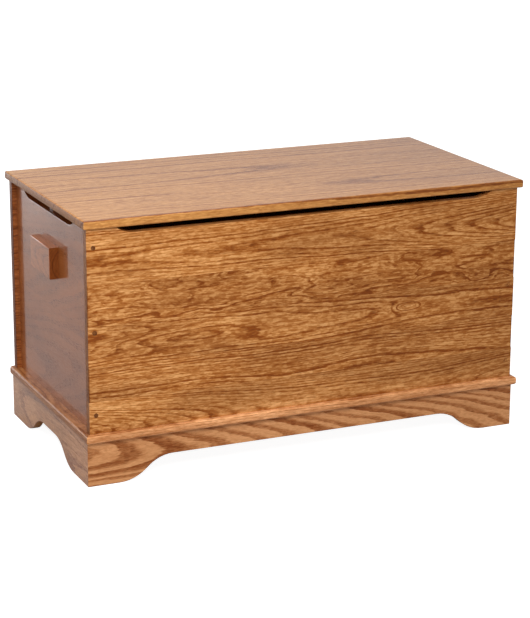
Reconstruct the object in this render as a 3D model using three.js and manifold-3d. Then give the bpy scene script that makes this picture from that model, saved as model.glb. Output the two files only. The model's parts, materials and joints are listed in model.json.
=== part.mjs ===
// A wooden toy box: a case with a hinged lid, standing on a bracket base with a rounded cap rail.
// Millimetres. +X runs along the length, +Y from front to back, +Z up.
// The origin is on the floor, under the centre of the whole box.
import * as THREE from 'three';
import { mergeVertices } from 'three/addons/utils/BufferGeometryUtils.js';
import Module from 'manifold-3d';

const wasm = await Module();
wasm.setup();

// ---------------------------------------------------------------- driving dimensions

const BOARD = 19;                        // finished thickness of every solid board

// Case
const CASE_HALF_LENGTH = 525;            // front and back panels, from the middle to an end
const CASE_HALF_DEPTH = 269.25;          // outer faces of the front and back panels
const CASE_BOTTOM = 121.5;
const CASE_TOP = 578;
const END_INSET = 12;                    // end panels sit this far in from the panels' ends
const FRONT_JOINTS = [193.5, 271, 363.5, 453];     // heights of the front panel's glue lines
const BACK_JOINTS = [262, 418];
const END_JOINTS = [338];

// Lid
const LID_HALF_LENGTH = 533.5;
const LID_DEPTH = 553;
const LID_FRONT_OVERHANG = 10.5;
const LID_ROUND = 4;
const LID_JOINTS = [62, 172, 288, 404];            // glue lines, from the lid's front edge
const BATTEN = { x: 330, width: 45, halfLength: 225, height: 16, chamfer: 8 };

// Finger gaps: shallow cuts in the panels' top edges, with curved ends
const GAP_RADIUS = 80;
const FRONT_GAP = { centre: 0, flatHalf: 412, depth: 16 };
const END_GAP = { centre: 20, flatHalf: 130, depth: 24.5 };

// Base
const CAP = { height: 20, overhang: 11, width: 64, round: 6 };
const BASE_SIDE_STEP = 5;                // the aprons stand this far outside the case's ends
const BASE_FRONT_STEP = 2;               // and this far behind its front face
const FRONT_ARCH = { flatHalf: 331, rise: 51.5 };
const END_ARCH = { flatHalf: 45, rise: 49 };
const OGEE = { upperRadius: 85, lowerRadius: 92, angle: THREE.MathUtils.degToRad(41) };
const MITRE_GAP = 0.2;
const CORNER_BLOCK = { leg: 55, nose: 8, clear: 2 };

// Inside
const CLEAT = 19;
const FLOOR_THICKNESS = 12;
const FLOOR_GAP = 0.5;

// Handles and plugs
const HANDLE = { length: 134, height: 72, proud: 22, centreY: 20, centreZ: 450, round: 2 };
const PLUG = { radius: 5, depth: 7, gap: 0.15, x: 509.5, heights: { bottom: 163, middle: 348.5, top: 536 } };

// Butt hinges
const HINGE = { x: 360, length: 75, knuckles: 5, knuckleGap: 0.3, barrel: 4, bore: 2, pin: 1.9,
  leaf: 2, leafDepth: 24, behindCase: 7, belowLid: 1, head: 3.2, headLength: 1.2, headTaper: 0.7 };
const LEAF_PLAY = 0.2;                   // room around a leaf in its pocket
// Countersunk screw holes in each leaf: places from the leaf's middle, and from its front edge
const LEAF_HOLES = { mouth: 4, throat: 2.2, places: [[-26, 6.5], [0, 12.5], [26, 6.5]], sides: 20 };

// Lid stays: two arms that form a parallelogram with the lid and the end panel
const STAY = { reach: 200, drop: 11, pivotBack: 48, pivotDown: 155, armWidth: 16, armThickness: 2.5,
  stud: 3, hole: 3.1, looseHole: 3.4, head: 5, headHeight: 1.5, headTaper: 0.6, plate: 2.5, gap: 0.2 };
const WALL_PLATE = { halfWidth: 11, halfHeight: 28 };
const LID_PLATE = { halfWidth: 10, belowPivot: 9, footHalfWidth: 14, footLength: 20 };
const RIVET = { rim: 0.4 };
const ROOT = 1;                          // a stud starts this far inside its plate
// Layers of a stay, measured from the end panel's inner face
const LAYER = { lowerArm: 4, upperArm: 7.3, flange: 10.5, rivetOuter: 2.8, rivetInner: 10.9 };

// ---------------------------------------------------------------- derived places

const BASE_HEIGHT = CASE_BOTTOM - CAP.height;
const LID_FRONT = -CASE_HALF_DEPTH - LID_FRONT_OVERHANG;
const LID_BACK = LID_FRONT + LID_DEPTH;
const LID_TOP = CASE_TOP + BOARD;
const END_OUTER = CASE_HALF_LENGTH - END_INSET;
const END_INNER = END_OUTER - BOARD;
const INNER_HALF_DEPTH = CASE_HALF_DEPTH - BOARD;
const BASE_HALF_LENGTH = CASE_HALF_LENGTH + BASE_SIDE_STEP;
const BASE_FRONT = -CASE_HALF_DEPTH + BASE_FRONT_STEP;
const CAP_HALF_LENGTH = CASE_HALF_LENGTH + CAP.overhang;
const CAP_FRONT = -CASE_HALF_DEPTH - CAP.overhang;
const FLOOR_BOTTOM = CASE_BOTTOM + CLEAT;
const AXIS = { y: CASE_HALF_DEPTH + HINGE.behindCase, z: CASE_TOP - HINGE.belowLid };

const SIDES = { left: -1, right: 1 };
const ROUND_SIDES = 24;                  // sides of a round piece
const CLEARANCE = 1;                     // a cutting tool runs this far past the face it cuts

// ---------------------------------------------------------------- materials

function wood(color, roughness = 0.35) {
  return new THREE.MeshStandardMaterial({ color, roughness, metalness: 0 });
}

function metal(color, roughness = 0.3) {
  return new THREE.MeshStandardMaterial({ color, roughness, metalness: 1 });
}

const LOOK = {
  lid: () => wood(0xc8a078),
  panel: () => wood(0xb9793f),
  base: () => wood(0xb4733c),
  handle: () => wood(0xa8683a),
  plug: () => wood(0x6f3f1c, 0.5),
  hidden: () => wood(0xc79a63, 0.6),
  brass: () => metal(0xb8923e),
  steel: () => metal(0x9a9ca0),
};

// ---------------------------------------------------------------- geometry helpers

const toybox = new THREE.Group();
toybox.name = 'toy_box';

function add(name, geometry, material) {
  const mesh = new THREE.Mesh(geometry, material);
  mesh.name = name;
  toybox.add(mesh);
}

// A block between two corners; each span may be given in either order.
function block(spanX, spanY, spanZ) {
  const spans = [spanX, spanY, spanZ].map(([a, b]) => [Math.min(a, b), Math.max(a, b)]);
  const geometry = new THREE.BoxGeometry(...spans.map(([lo, hi]) => hi - lo));
  return geometry.translate(...spans.map(([lo, hi]) => (lo + hi) / 2));
}

function outline(points) {
  return new THREE.Shape(points.map(([u, v]) => new THREE.Vector2(u, v)));
}

function extrude(shape, depth, curveSegments = 12) {
  return new THREE.ExtrudeGeometry(shape, { depth, bevelEnabled: false, curveSegments });
}

// A (y, z) outline run along X.
function alongX(shape, [a, b], curveSegments) {
  const turn = new THREE.Matrix4().makeBasis(
    new THREE.Vector3(0, 1, 0), new THREE.Vector3(0, 0, 1), new THREE.Vector3(1, 0, 0));
  return extrude(shape, Math.abs(b - a), curveSegments).applyMatrix4(turn)
    .translate(Math.min(a, b), 0, 0);
}

// An (x, z) outline run along Y.
function alongY(shape, [a, b]) {
  const turn = new THREE.Matrix4().makeBasis(
    new THREE.Vector3(1, 0, 0), new THREE.Vector3(0, 0, 1), new THREE.Vector3(0, -1, 0));
  return extrude(shape, Math.abs(b - a)).applyMatrix4(turn).translate(0, Math.max(a, b), 0);
}

// An (x, y) outline run along Z.
function alongZ(shape, [a, b]) {
  return extrude(shape, b - a).translate(0, 0, a);
}

// Move every vertex of a geometry by a function of its place.
function reshape(geometry, move) {
  const place = geometry.attributes.position;
  const p = new THREE.Vector3();
  for (let i = 0; i < place.count; i += 1) {
    p.fromBufferAttribute(place, i);
    move(p);
    place.setXYZ(i, p.x, p.y, p.z);
  }
  return geometry;
}

// Points of an arc from angle a to angle b, in radians.
function arc(u, v, radius, a, b, steps) {
  return Array.from({ length: steps + 1 }, (_, i) => {
    const t = a + ((b - a) * i) / steps;
    return [u + radius * Math.cos(t), v + radius * Math.sin(t)];
  });
}

function solid(geometry) {
  const bare = geometry.clone();
  bare.deleteAttribute('normal');
  bare.deleteAttribute('uv');
  const merged = mergeVertices(bare, 1e-4);
  return new wasm.Manifold(new wasm.Mesh({
    numProp: 3,
    vertProperties: Float32Array.from(merged.attributes.position.array),
    triVerts: Uint32Array.from(merged.index.array),
  }));
}

function unsolid(body) {
  const mesh = body.getMesh();
  const geometry = new THREE.BufferGeometry();
  geometry.setAttribute('position', new THREE.BufferAttribute(Float32Array.from(mesh.vertProperties), 3));
  geometry.setIndex(Array.from(mesh.triVerts));
  return geometry;
}

function join(...geometries) {
  return unsolid(geometries.map(solid).reduce((sum, next) => sum.add(next)));
}

function cut(geometry, ...tools) {
  return unsolid(tools.map(solid).reduce((rest, tool) => rest.subtract(tool), solid(geometry)));
}

function common(a, b) {
  return unsolid(solid(a).intersect(solid(b)));
}

// A round bar along X from a to b.
function barX(radius, [a, b], y, z) {
  const bar = new THREE.CylinderGeometry(radius, radius, Math.abs(b - a), ROUND_SIDES);
  return bar.rotateZ(-Math.PI / 2).translate((a + b) / 2, y, z);
}

// A turned piece along X: [radius, x] pairs, from one end of its axis to the other.
function turnedX(profile, y, z) {
  const points = profile.map(([radius, x]) => new THREE.Vector2(radius, x));
  const up = points[points.length - 1].y > points[0].y ? points : points.reverse();
  return new THREE.LatheGeometry(up, ROUND_SIDES).rotateZ(-Math.PI / 2).translate(0, y, z);
}

// The strips between glue lines: [low, high] for each board.
function strips(low, joints, high) {
  const edges = [low, ...joints, high];
  return edges.slice(1).map((edge, i) => [edges[i], edge]);
}

// ---------------------------------------------------------------- case

// Top edge of a panel with a finger gap, from its high end to its low end.
function gapEdge({ centre, flatHalf, depth }) {
  const reach = Math.acos(1 - depth / GAP_RADIUS);
  const v = CASE_TOP - depth + GAP_RADIUS;
  const down = -Math.PI / 2;
  return [
    ...arc(centre + flatHalf, v, GAP_RADIUS, down + reach, down, 6),
    ...arc(centre - flatHalf, v, GAP_RADIUS, down, down - reach, 6),
  ];
}

function topBoard(half, bottom, gap) {
  return outline([[-half, bottom], [half, bottom], [half, CASE_TOP], ...gapEdge(gap), [-half, CASE_TOP]]);
}

// A round bar into the front panel, from a little before its face to a given depth.
function plugBar(x, z, radius, depth, before = 0) {
  const bar = new THREE.CylinderGeometry(radius, radius, depth + before, ROUND_SIDES);
  return bar.translate(x, -CASE_HALF_DEPTH + (depth - before) / 2, z);
}

function frontPanel() {
  const span = [-CASE_HALF_DEPTH, -INNER_HALF_DEPTH];
  const boards = strips(CASE_BOTTOM, FRONT_JOINTS, CASE_TOP);
  const heights = Object.entries(PLUG.heights);
  boards.forEach(([low, high], i) => {
    const whole = high === CASE_TOP
      ? alongY(topBoard(CASE_HALF_LENGTH, low, FRONT_GAP), span)
      : block([-CASE_HALF_LENGTH, CASE_HALF_LENGTH], span, [low, high]);
    const inside = heights.filter(([, z]) => z > low && z < high);
    const holes = inside.flatMap(([, z]) => Object.values(SIDES).map((side) => (
      plugBar(side * PLUG.x, z, PLUG.radius + PLUG.gap, PLUG.depth, CLEARANCE))));
    add(`front_board_${i + 1}`, holes.length ? cut(whole, ...holes) : whole, LOOK.panel());
  });
  for (const [where, side] of Object.entries(SIDES)) {
    for (const [height, z] of heights) {
      const plug = plugBar(side * PLUG.x, z, PLUG.radius, PLUG.depth - PLUG.gap);
      add(`plug_${where}_${height}`, plug, LOOK.plug());
    }
  }
}

function endPanels() {
  for (const [where, side] of Object.entries(SIDES)) {
    const span = [side * END_OUTER, side * END_INNER];
    strips(CASE_BOTTOM, END_JOINTS, CASE_TOP).forEach(([low, high], i) => {
      const board = high === CASE_TOP
        ? alongX(topBoard(INNER_HALF_DEPTH, low, END_GAP), span)
        : block(span, [-INNER_HALF_DEPTH, INNER_HALF_DEPTH], [low, high]);
      add(`end_board_${where}_${i + 1}`, board, LOOK.panel());
    });
  }
}

function backPanel() {
  const span = [INNER_HALF_DEPTH, CASE_HALF_DEPTH];
  strips(CASE_BOTTOM, BACK_JOINTS, CASE_TOP).forEach(([low, high], i) => {
    const board = block([-CASE_HALF_LENGTH, CASE_HALF_LENGTH], span, [low, high]);
    const top = high === CASE_TOP;
    add(`back_board_${i + 1}`, top ? cut(board, ...leafPockets(-1)) : board, LOOK.panel());
  });
}

function caseFloor() {
  const low = CASE_BOTTOM;
  const high = FLOOR_BOTTOM;
  const walls = [INNER_HALF_DEPTH - CLEAT, INNER_HALF_DEPTH];
  add('floor_cleat_front', block([-END_INNER, END_INNER], walls.map((y) => -y), [low, high]), LOOK.hidden());
  add('floor_cleat_back', block([-END_INNER, END_INNER], walls, [low, high]), LOOK.hidden());
  for (const [where, side] of Object.entries(SIDES)) {
    const cleat = block([side * (END_INNER - CLEAT), side * END_INNER], [-walls[0], walls[0]], [low, high]);
    add(`floor_cleat_${where}`, cleat, LOOK.hidden());
  }
  const halfLength = END_INNER - FLOOR_GAP;
  const halfDepth = INNER_HALF_DEPTH - FLOOR_GAP;
  add('floor_panel', block([-halfLength, halfLength], [-halfDepth, halfDepth],
    [high, high + FLOOR_THICKNESS]), LOOK.hidden());
}

function handles() {
  const halfLength = HANDLE.length / 2 - HANDLE.round;
  const halfHeight = HANDLE.height / 2 - HANDLE.round;
  const face = outline([[-halfLength, -halfHeight], [halfLength, -halfHeight],
    [halfLength, halfHeight], [-halfLength, halfHeight]]);
  for (const [where, side] of Object.entries(SIDES)) {
    const rounded = new THREE.ExtrudeGeometry(face, { depth: 2 * HANDLE.proud, steps: 1,
      bevelThickness: HANDLE.round, bevelSize: HANDLE.round, bevelSegments: 3 });
    const turn = new THREE.Matrix4().makeBasis(
      new THREE.Vector3(0, 1, 0), new THREE.Vector3(0, 0, 1), new THREE.Vector3(1, 0, 0));
    rounded.applyMatrix4(turn);
    const reach = HANDLE.proud - HANDLE.round;
    rounded.translate(side > 0 ? reach - 2 * HANDLE.proud : -reach, 0, 0);
    const outside = block([0, side * 2 * HANDLE.proud], [-HANDLE.length, HANDLE.length],
      [-HANDLE.height, HANDLE.height]);
    const grip = common(rounded, outside).translate(side * END_OUTER, HANDLE.centreY, HANDLE.centreZ);
    add(`handle_${where}`, grip, LOOK.handle());
  }
}

// ---------------------------------------------------------------- lid

function lid() {
  const halfX = LID_HALF_LENGTH - LID_ROUND;
  const face = outline([[-halfX, LID_FRONT + LID_ROUND], [halfX, LID_FRONT + LID_ROUND],
    [halfX, LID_BACK - LID_ROUND], [-halfX, LID_BACK - LID_ROUND]]);
  const slab = new THREE.ExtrudeGeometry(face, { depth: BOARD - 2 * LID_ROUND, steps: 1,
    bevelThickness: LID_ROUND, bevelSize: LID_ROUND, bevelSegments: 4 });
  slab.translate(0, 0, CASE_TOP + LID_ROUND);
  const joints = LID_JOINTS.map((y) => LID_FRONT + y);
  strips(LID_FRONT, joints, LID_BACK).forEach((span, i, all) => {
    const strip = block([-LID_HALF_LENGTH, LID_HALF_LENGTH], span, [CASE_TOP, LID_TOP]);
    const board = common(slab, strip);
    const rear = i === all.length - 1;
    add(`lid_board_${i + 1}`, rear ? cut(board, ...leafPockets(1)) : board, LOOK.lid());
  });
  for (const [where, side] of Object.entries(SIDES)) {
    const { halfLength, height, chamfer, width, x } = BATTEN;
    const shape = outline([[-halfLength, CASE_TOP], [-halfLength, CASE_TOP - height + chamfer],
      [-halfLength + chamfer, CASE_TOP - height], [halfLength - chamfer, CASE_TOP - height],
      [halfLength, CASE_TOP - height + chamfer], [halfLength, CASE_TOP]]);
    const span = [side * x - width / 2, side * x + width / 2];
    add(`lid_batten_${where}`, alongX(shape, span), LOOK.hidden());
  }
}

// ---------------------------------------------------------------- base

// Half of an arch, from its toe on the floor up to the flat, as distances from its centre.
function ogee({ flatHalf, rise }) {
  const { upperRadius, lowerRadius, angle } = OGEE;
  const straight = rise - (upperRadius + lowerRadius) * (1 - Math.cos(angle));
  const run = (upperRadius + lowerRadius) * Math.sin(angle) + straight / Math.tan(angle);
  const down = -Math.PI / 2;
  const up = Math.PI / 2;
  return [
    ...arc(flatHalf + run, lowerRadius, lowerRadius, down, down - angle, 6),
    ...arc(flatHalf, rise - upperRadius, upperRadius, up - angle, up, 6),
  ];
}

function apronShape([low, high], arch) {
  const half = ogee(arch);
  const lowSide = half.map(([u, v]) => [-u, v]);
  const top = [[high, BASE_HEIGHT], [low, BASE_HEIGHT]];
  return outline([[low, 0], ...lowSide, ...half.reverse(), [high, 0], ...top]);
}

function aprons() {
  const half = BASE_HALF_LENGTH;
  const inner = half - BOARD;
  const frontInner = BASE_FRONT + BOARD;
  const front = alongY(apronShape([-half, half], FRONT_ARCH), [BASE_FRONT, frontInner]);
  add('apron_front', reshape(front, (p) => {
    if (Math.abs(p.x) > half - 1) {
      p.x = Math.sign(p.x) * (half - (p.y - BASE_FRONT) - MITRE_GAP);
    }
  }), LOOK.base());
  add('apron_back', alongY(apronShape([-inner, inner], FRONT_ARCH), [INNER_HALF_DEPTH, CASE_HALF_DEPTH]),
    LOOK.base());
  for (const [where, side] of Object.entries(SIDES)) {
    const apron = alongX(apronShape([BASE_FRONT, CASE_HALF_DEPTH], END_ARCH), [side * half, side * inner]);
    add(`apron_${where}`, reshape(apron, (p) => {
      if (p.y < BASE_FRONT + 1) {
        p.y = BASE_FRONT + (half - Math.abs(p.x));
      }
    }), LOOK.base());
  }
}

// Section of the cap rail: u is the distance in from its outer edge.
function capSection() {
  const { round, width, height } = CAP;
  const low = BASE_HEIGHT;
  const high = BASE_HEIGHT + height;
  return [[width, low], ...arc(round, low + round, round, -Math.PI / 2, -Math.PI, 5),
    ...arc(round, high - round, round, Math.PI, Math.PI / 2, 5), [width, high]];
}

function capRail() {
  const frontShape = outline(capSection().map(([u, z]) => [CAP_FRONT + u, z]));
  const front = alongX(frontShape, [-1, 1]);
  add('cap_rail_front', reshape(front, (p) => {
    p.x *= CAP_HALF_LENGTH - (p.y - CAP_FRONT) - MITRE_GAP;
  }), LOOK.base());
  const inner = CAP_HALF_LENGTH - CAP.width;
  for (const [where, side] of Object.entries(SIDES)) {
    const shape = outline(capSection().map(([u, z]) => [side * (CAP_HALF_LENGTH - u), z]));
    const rail = alongY(shape, [0, 1]);
    add(`cap_rail_${where}`, reshape(rail, (p) => {
      const mitre = CAP_FRONT + CAP_HALF_LENGTH - Math.abs(p.x);
      p.y = p.y > 0.5 ? CASE_HALF_DEPTH : mitre;
    }), LOOK.base());
  }
  add('cap_rail_back', block([-inner, inner], [CASE_HALF_DEPTH - CAP.width, CASE_HALF_DEPTH],
    [BASE_HEIGHT, CASE_BOTTOM]), LOOK.base());
}

function cornerBlocks() {
  const { leg, nose, clear } = CORNER_BLOCK;
  const wallX = BASE_HALF_LENGTH - BOARD;
  const ends = { front: { y: BASE_FRONT + BOARD, inward: 1 }, back: { y: INNER_HALF_DEPTH, inward: -1 } };
  for (const [end, { y, inward }] of Object.entries(ends)) {
    for (const [where, side] of Object.entries(SIDES)) {
      const shape = outline([[0, 0], [leg, 0], [leg, nose], [nose, leg], [0, leg]]
        .map(([u, v]) => [side * (wallX - u), y + inward * v]));
      add(`corner_block_${end}_${where}`, alongZ(shape, [clear, BASE_HEIGHT]), LOOK.hidden());
    }
  }
}

// ---------------------------------------------------------------- hinges

const LEAF_FRONT = AXIS.y - HINGE.leafDepth;

// Pockets for the leaves: up = 1 in the lid's underside, up = -1 in the case's top edge.
function leafPockets(up) {
  const half = HINGE.length / 2 + LEAF_PLAY;
  const levels = [CASE_TOP - up * CLEARANCE, CASE_TOP + up * (HINGE.leaf + LEAF_PLAY)];
  return Object.values(SIDES).map((side) => block([side * HINGE.x - half, side * HINGE.x + half],
    [LEAF_FRONT - LEAF_PLAY, AXIS.y + HINGE.barrel], levels));
}

// Tapered screw holes through a leaf, widest on the face that meets the other leaf.
function leafHoles(x, up) {
  const { mouth, throat, places, sides } = LEAF_HOLES;
  const slope = (mouth - throat) / HINGE.leaf;
  const wide = mouth + slope * CLEARANCE;
  const narrow = throat - slope * CLEARANCE;
  const height = HINGE.leaf + 2 * CLEARANCE;
  const [upper, lower] = up > 0 ? [narrow, wide] : [wide, narrow];
  const middle = CASE_TOP + (up * HINGE.leaf) / 2;
  return places.map(([across, deep]) => {
    const cone = new THREE.CylinderGeometry(upper, lower, height, sides).rotateX(Math.PI / 2);
    return cone.translate(x + across, LEAF_FRONT + deep, middle);
  });
}

function leaf(x, up, owns) {
  const { length, knuckles, knuckleGap, barrel, bore } = HINGE;
  const start = x - length / 2;
  const levels = [CASE_TOP, CASE_TOP + up * HINGE.leaf];
  const plateBack = AXIS.y - barrel - knuckleGap;
  const pieces = [block([start, start + length], [LEAF_FRONT, plateBack], levels)];
  for (let i = 0; i < knuckles; i += 1) {
    if (owns(i)) {
      const step = length / knuckles;
      const span = [start + i * step + knuckleGap / 2, start + (i + 1) * step - knuckleGap / 2];
      pieces.push(block(span, [plateBack - CLEARANCE, AXIS.y], levels), barX(barrel, span, AXIS.y, AXIS.z));
    }
  }
  const through = barX(bore, [start - CLEARANCE, start + length + CLEARANCE], AXIS.y, AXIS.z);
  return cut(join(...pieces), through, ...leafHoles(x, up));
}

function hinges() {
  const isOdd = (i) => i % 2 === 1;
  for (const [where, side] of Object.entries(SIDES)) {
    const x = side * HINGE.x;
    const end = HINGE.length / 2;
    const { head, headLength, headTaper, pin } = HINGE;
    add(`hinge_${where}_body_leaf`, leaf(x, -1, (i) => !isOdd(i)), LOOK.brass());
    add(`hinge_${where}_lid_leaf`, leaf(x, 1, isOdd), LOOK.brass());
    const tip = head * headTaper;
    const profile = [[0, -end - headLength], [tip, -end - headLength], [head, -end - headLength / 2],
      [head, -end], [pin, -end], [pin, end], [head, end], [head, end + headLength / 2],
      [tip, end + headLength], [0, end + headLength]];
    add(`hinge_${where}_pin`, turnedX(profile, AXIS.y, AXIS.z).translate(x, 0, 0), LOOK.brass());
  }
}

// ---------------------------------------------------------------- lid stays

// The four pivots as [y, z]: on the end panel, on the lid, and at the elbow.
const WALL_PIVOT = [AXIS.y - STAY.pivotBack, AXIS.z - STAY.pivotDown];
const LID_PIVOT = [AXIS.y - STAY.reach, AXIS.z - STAY.drop];
const ELBOW = [WALL_PIVOT[0] - STAY.reach, WALL_PIVOT[1] - STAY.drop];

function roundBar([y0, z0], [y1, z1], holes) {
  const along = Math.atan2(z1 - z0, y1 - y0);
  const r = STAY.armWidth / 2;
  const quarter = Math.PI / 2;
  const shape = outline([...arc(y1, z1, r, along - quarter, along + quarter, 8),
    ...arc(y0, z0, r, along + quarter, along + 3 * quarter, 8)]);
  for (const [[y, z], radius] of holes) {
    const hole = new THREE.Path();
    hole.absarc(y, z, radius, 0, 2 * Math.PI, true);
    shape.holes.push(hole);
  }
  return shape;
}

// A stud with a domed head, along X from the plate's face outwards.
function stud([y, z], root, shoulder, end, place) {
  const { stud: r, head, headTaper } = STAY;
  const rim = (shoulder + end) / 2;
  return turnedX([[0, root], [r, root], [r, shoulder], [head, shoulder], [head, rim],
    [head * headTaper, end], [0, end]].map(([radius, depth]) => [radius, place(depth)]), y, z);
}

function stays() {
  for (const [where, side] of Object.entries(SIDES)) {
    const place = (depth) => side * (END_INNER - depth);
    const span = (depth, thickness) => [place(depth), place(depth + thickness)];
    const name = `stay_${where}`;
    const [py, pz] = WALL_PIVOT;
    const [qy, qz] = LID_PIVOT;

    const { halfWidth, halfHeight } = WALL_PLATE;
    const wallPlate = block(span(0, STAY.plate), [py - halfWidth, py + halfWidth],
      [pz - halfHeight, pz + halfHeight]);
    const shoulder = LAYER.lowerArm + STAY.armThickness + STAY.gap;
    const wallStud = stud(WALL_PIVOT, STAY.plate - ROOT, shoulder, shoulder + STAY.headHeight, place);
    add(`${name}_wall_bracket`, join(wallPlate, wallStud), LOOK.steel());

    const lower = roundBar(WALL_PIVOT, ELBOW, [[WALL_PIVOT, STAY.hole], [ELBOW, STAY.looseHole]]);
    add(`${name}_lower_arm`, alongX(lower, span(LAYER.lowerArm, STAY.armThickness)), LOOK.steel());

    const upper = roundBar(LID_PIVOT, ELBOW, [[LID_PIVOT, STAY.hole], [ELBOW, STAY.hole]]);
    add(`${name}_upper_arm`, alongX(upper, span(LAYER.upperArm, STAY.armThickness)), LOOK.steel());

    const { halfWidth: flangeHalf, belowPivot, footHalfWidth: footHalf, footLength } = LID_PLATE;
    const flange = block(span(LAYER.flange, STAY.plate), [qy - flangeHalf, qy + flangeHalf],
      [qz - belowPivot, CASE_TOP]);
    const foot = block(span(LAYER.flange, footLength), [qy - footHalf, qy + footHalf],
      [CASE_TOP - STAY.plate, CASE_TOP]);
    const under = LAYER.upperArm - STAY.gap;
    const lidStud = stud(LID_PIVOT, LAYER.flange + ROOT, under, under - STAY.headHeight, place);
    add(`${name}_lid_bracket`, join(flange, foot, lidStud), LOOK.steel());

    const { head, stud: r, headTaper, gap } = STAY;
    const outerFace = LAYER.lowerArm - gap;
    const innerFace = LAYER.upperArm + STAY.armThickness + gap;
    const tip = head * headTaper;
    const profile = [[0, LAYER.rivetOuter], [tip, LAYER.rivetOuter], [head, outerFace - RIVET.rim],
      [head, outerFace], [r, outerFace], [r, innerFace], [head, innerFace], [head, innerFace + RIVET.rim],
      [tip, LAYER.rivetInner], [0, LAYER.rivetInner]].map(([radius, depth]) => [radius, place(depth)]);
    add(`${name}_elbow_rivet`, turnedX(profile, ...ELBOW), LOOK.steel());
  }
}

// ---------------------------------------------------------------- assembly

lid();
frontPanel();
endPanels();
backPanel();
caseFloor();
handles();
capRail();
aprons();
cornerBlocks();
hinges();
stays();

export default toybox;
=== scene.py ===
import json
import math

import bmesh
import bpy
from mathutils import Matrix, Vector


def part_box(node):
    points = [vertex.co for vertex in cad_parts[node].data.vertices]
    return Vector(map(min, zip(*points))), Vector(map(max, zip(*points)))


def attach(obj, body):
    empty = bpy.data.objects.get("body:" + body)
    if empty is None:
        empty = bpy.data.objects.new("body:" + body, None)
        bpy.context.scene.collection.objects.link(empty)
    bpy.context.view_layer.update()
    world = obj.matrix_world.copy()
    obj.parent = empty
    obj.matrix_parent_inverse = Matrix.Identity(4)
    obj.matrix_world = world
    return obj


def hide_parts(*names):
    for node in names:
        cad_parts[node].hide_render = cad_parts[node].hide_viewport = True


# Looks of a wooden toy box: golden oak under varnish, brass hinges and plated steel stays.
# Lengths are in metres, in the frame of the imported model.

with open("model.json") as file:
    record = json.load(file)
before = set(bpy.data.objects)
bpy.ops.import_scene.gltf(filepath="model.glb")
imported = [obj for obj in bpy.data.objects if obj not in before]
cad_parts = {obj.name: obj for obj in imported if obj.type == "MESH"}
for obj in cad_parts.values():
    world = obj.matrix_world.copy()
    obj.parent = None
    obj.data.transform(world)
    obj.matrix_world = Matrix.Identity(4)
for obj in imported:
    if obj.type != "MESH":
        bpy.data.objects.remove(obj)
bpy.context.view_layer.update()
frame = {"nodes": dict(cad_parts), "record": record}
nodes = frame["nodes"]

MM = 0.001
SIDES = {"left": -1, "right": 1}
WALLS = ("front", "back", "left", "right")
WHITE = (1, 1, 1, 1)

# ------------------------------------------------------------------ camera

EYE = Vector((-1.8842, -4.2000, 1.5960))
AZIMUTH, ELEVATION, ROLL = (math.radians(a) for a in (-24.278, 16.023, 0.315))
SENSOR_WIDTH = 36                     # of the camera and its lens, in millimetres
LENS = 118.28
FAR_CLIP = 200


def make_camera():
    back = Vector((math.sin(AZIMUTH) * math.cos(ELEVATION),
                   -math.cos(AZIMUTH) * math.cos(ELEVATION), math.sin(ELEVATION)))
    right = (-back).cross(Vector((0, 0, 1))).normalized()
    up = right.cross(-back)
    across = right * math.cos(ROLL) + up * math.sin(ROLL)
    data = bpy.data.cameras.new("camera")
    data.sensor_width = SENSOR_WIDTH
    data.lens = LENS
    data.clip_end = FAR_CLIP
    camera = bpy.data.objects.new("camera", data)
    bpy.context.scene.collection.objects.link(camera)
    turn = Matrix((across, back.cross(across), back)).transposed().to_4x4()
    camera.matrix_world = Matrix.Translation(EYE) @ turn
    bpy.context.scene.camera = camera


make_camera()

# ------------------------------------------------------------------ node graph helpers

STAIN_POWER = 3.0
SHADE_POWERS = (0.8, 1.0, 1.25)       # how strongly a shade acts on red, green and blue


def srgb(red, green, blue):
    """A colour given as 0 to 255 screen values, as linear RGBA."""
    def linear(v):
        v /= 255
        return v / 12.92 if v <= 0.04045 else ((v + 0.055) / 1.055) ** 2.4
    return (linear(red), linear(green), linear(blue), 1)


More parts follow.
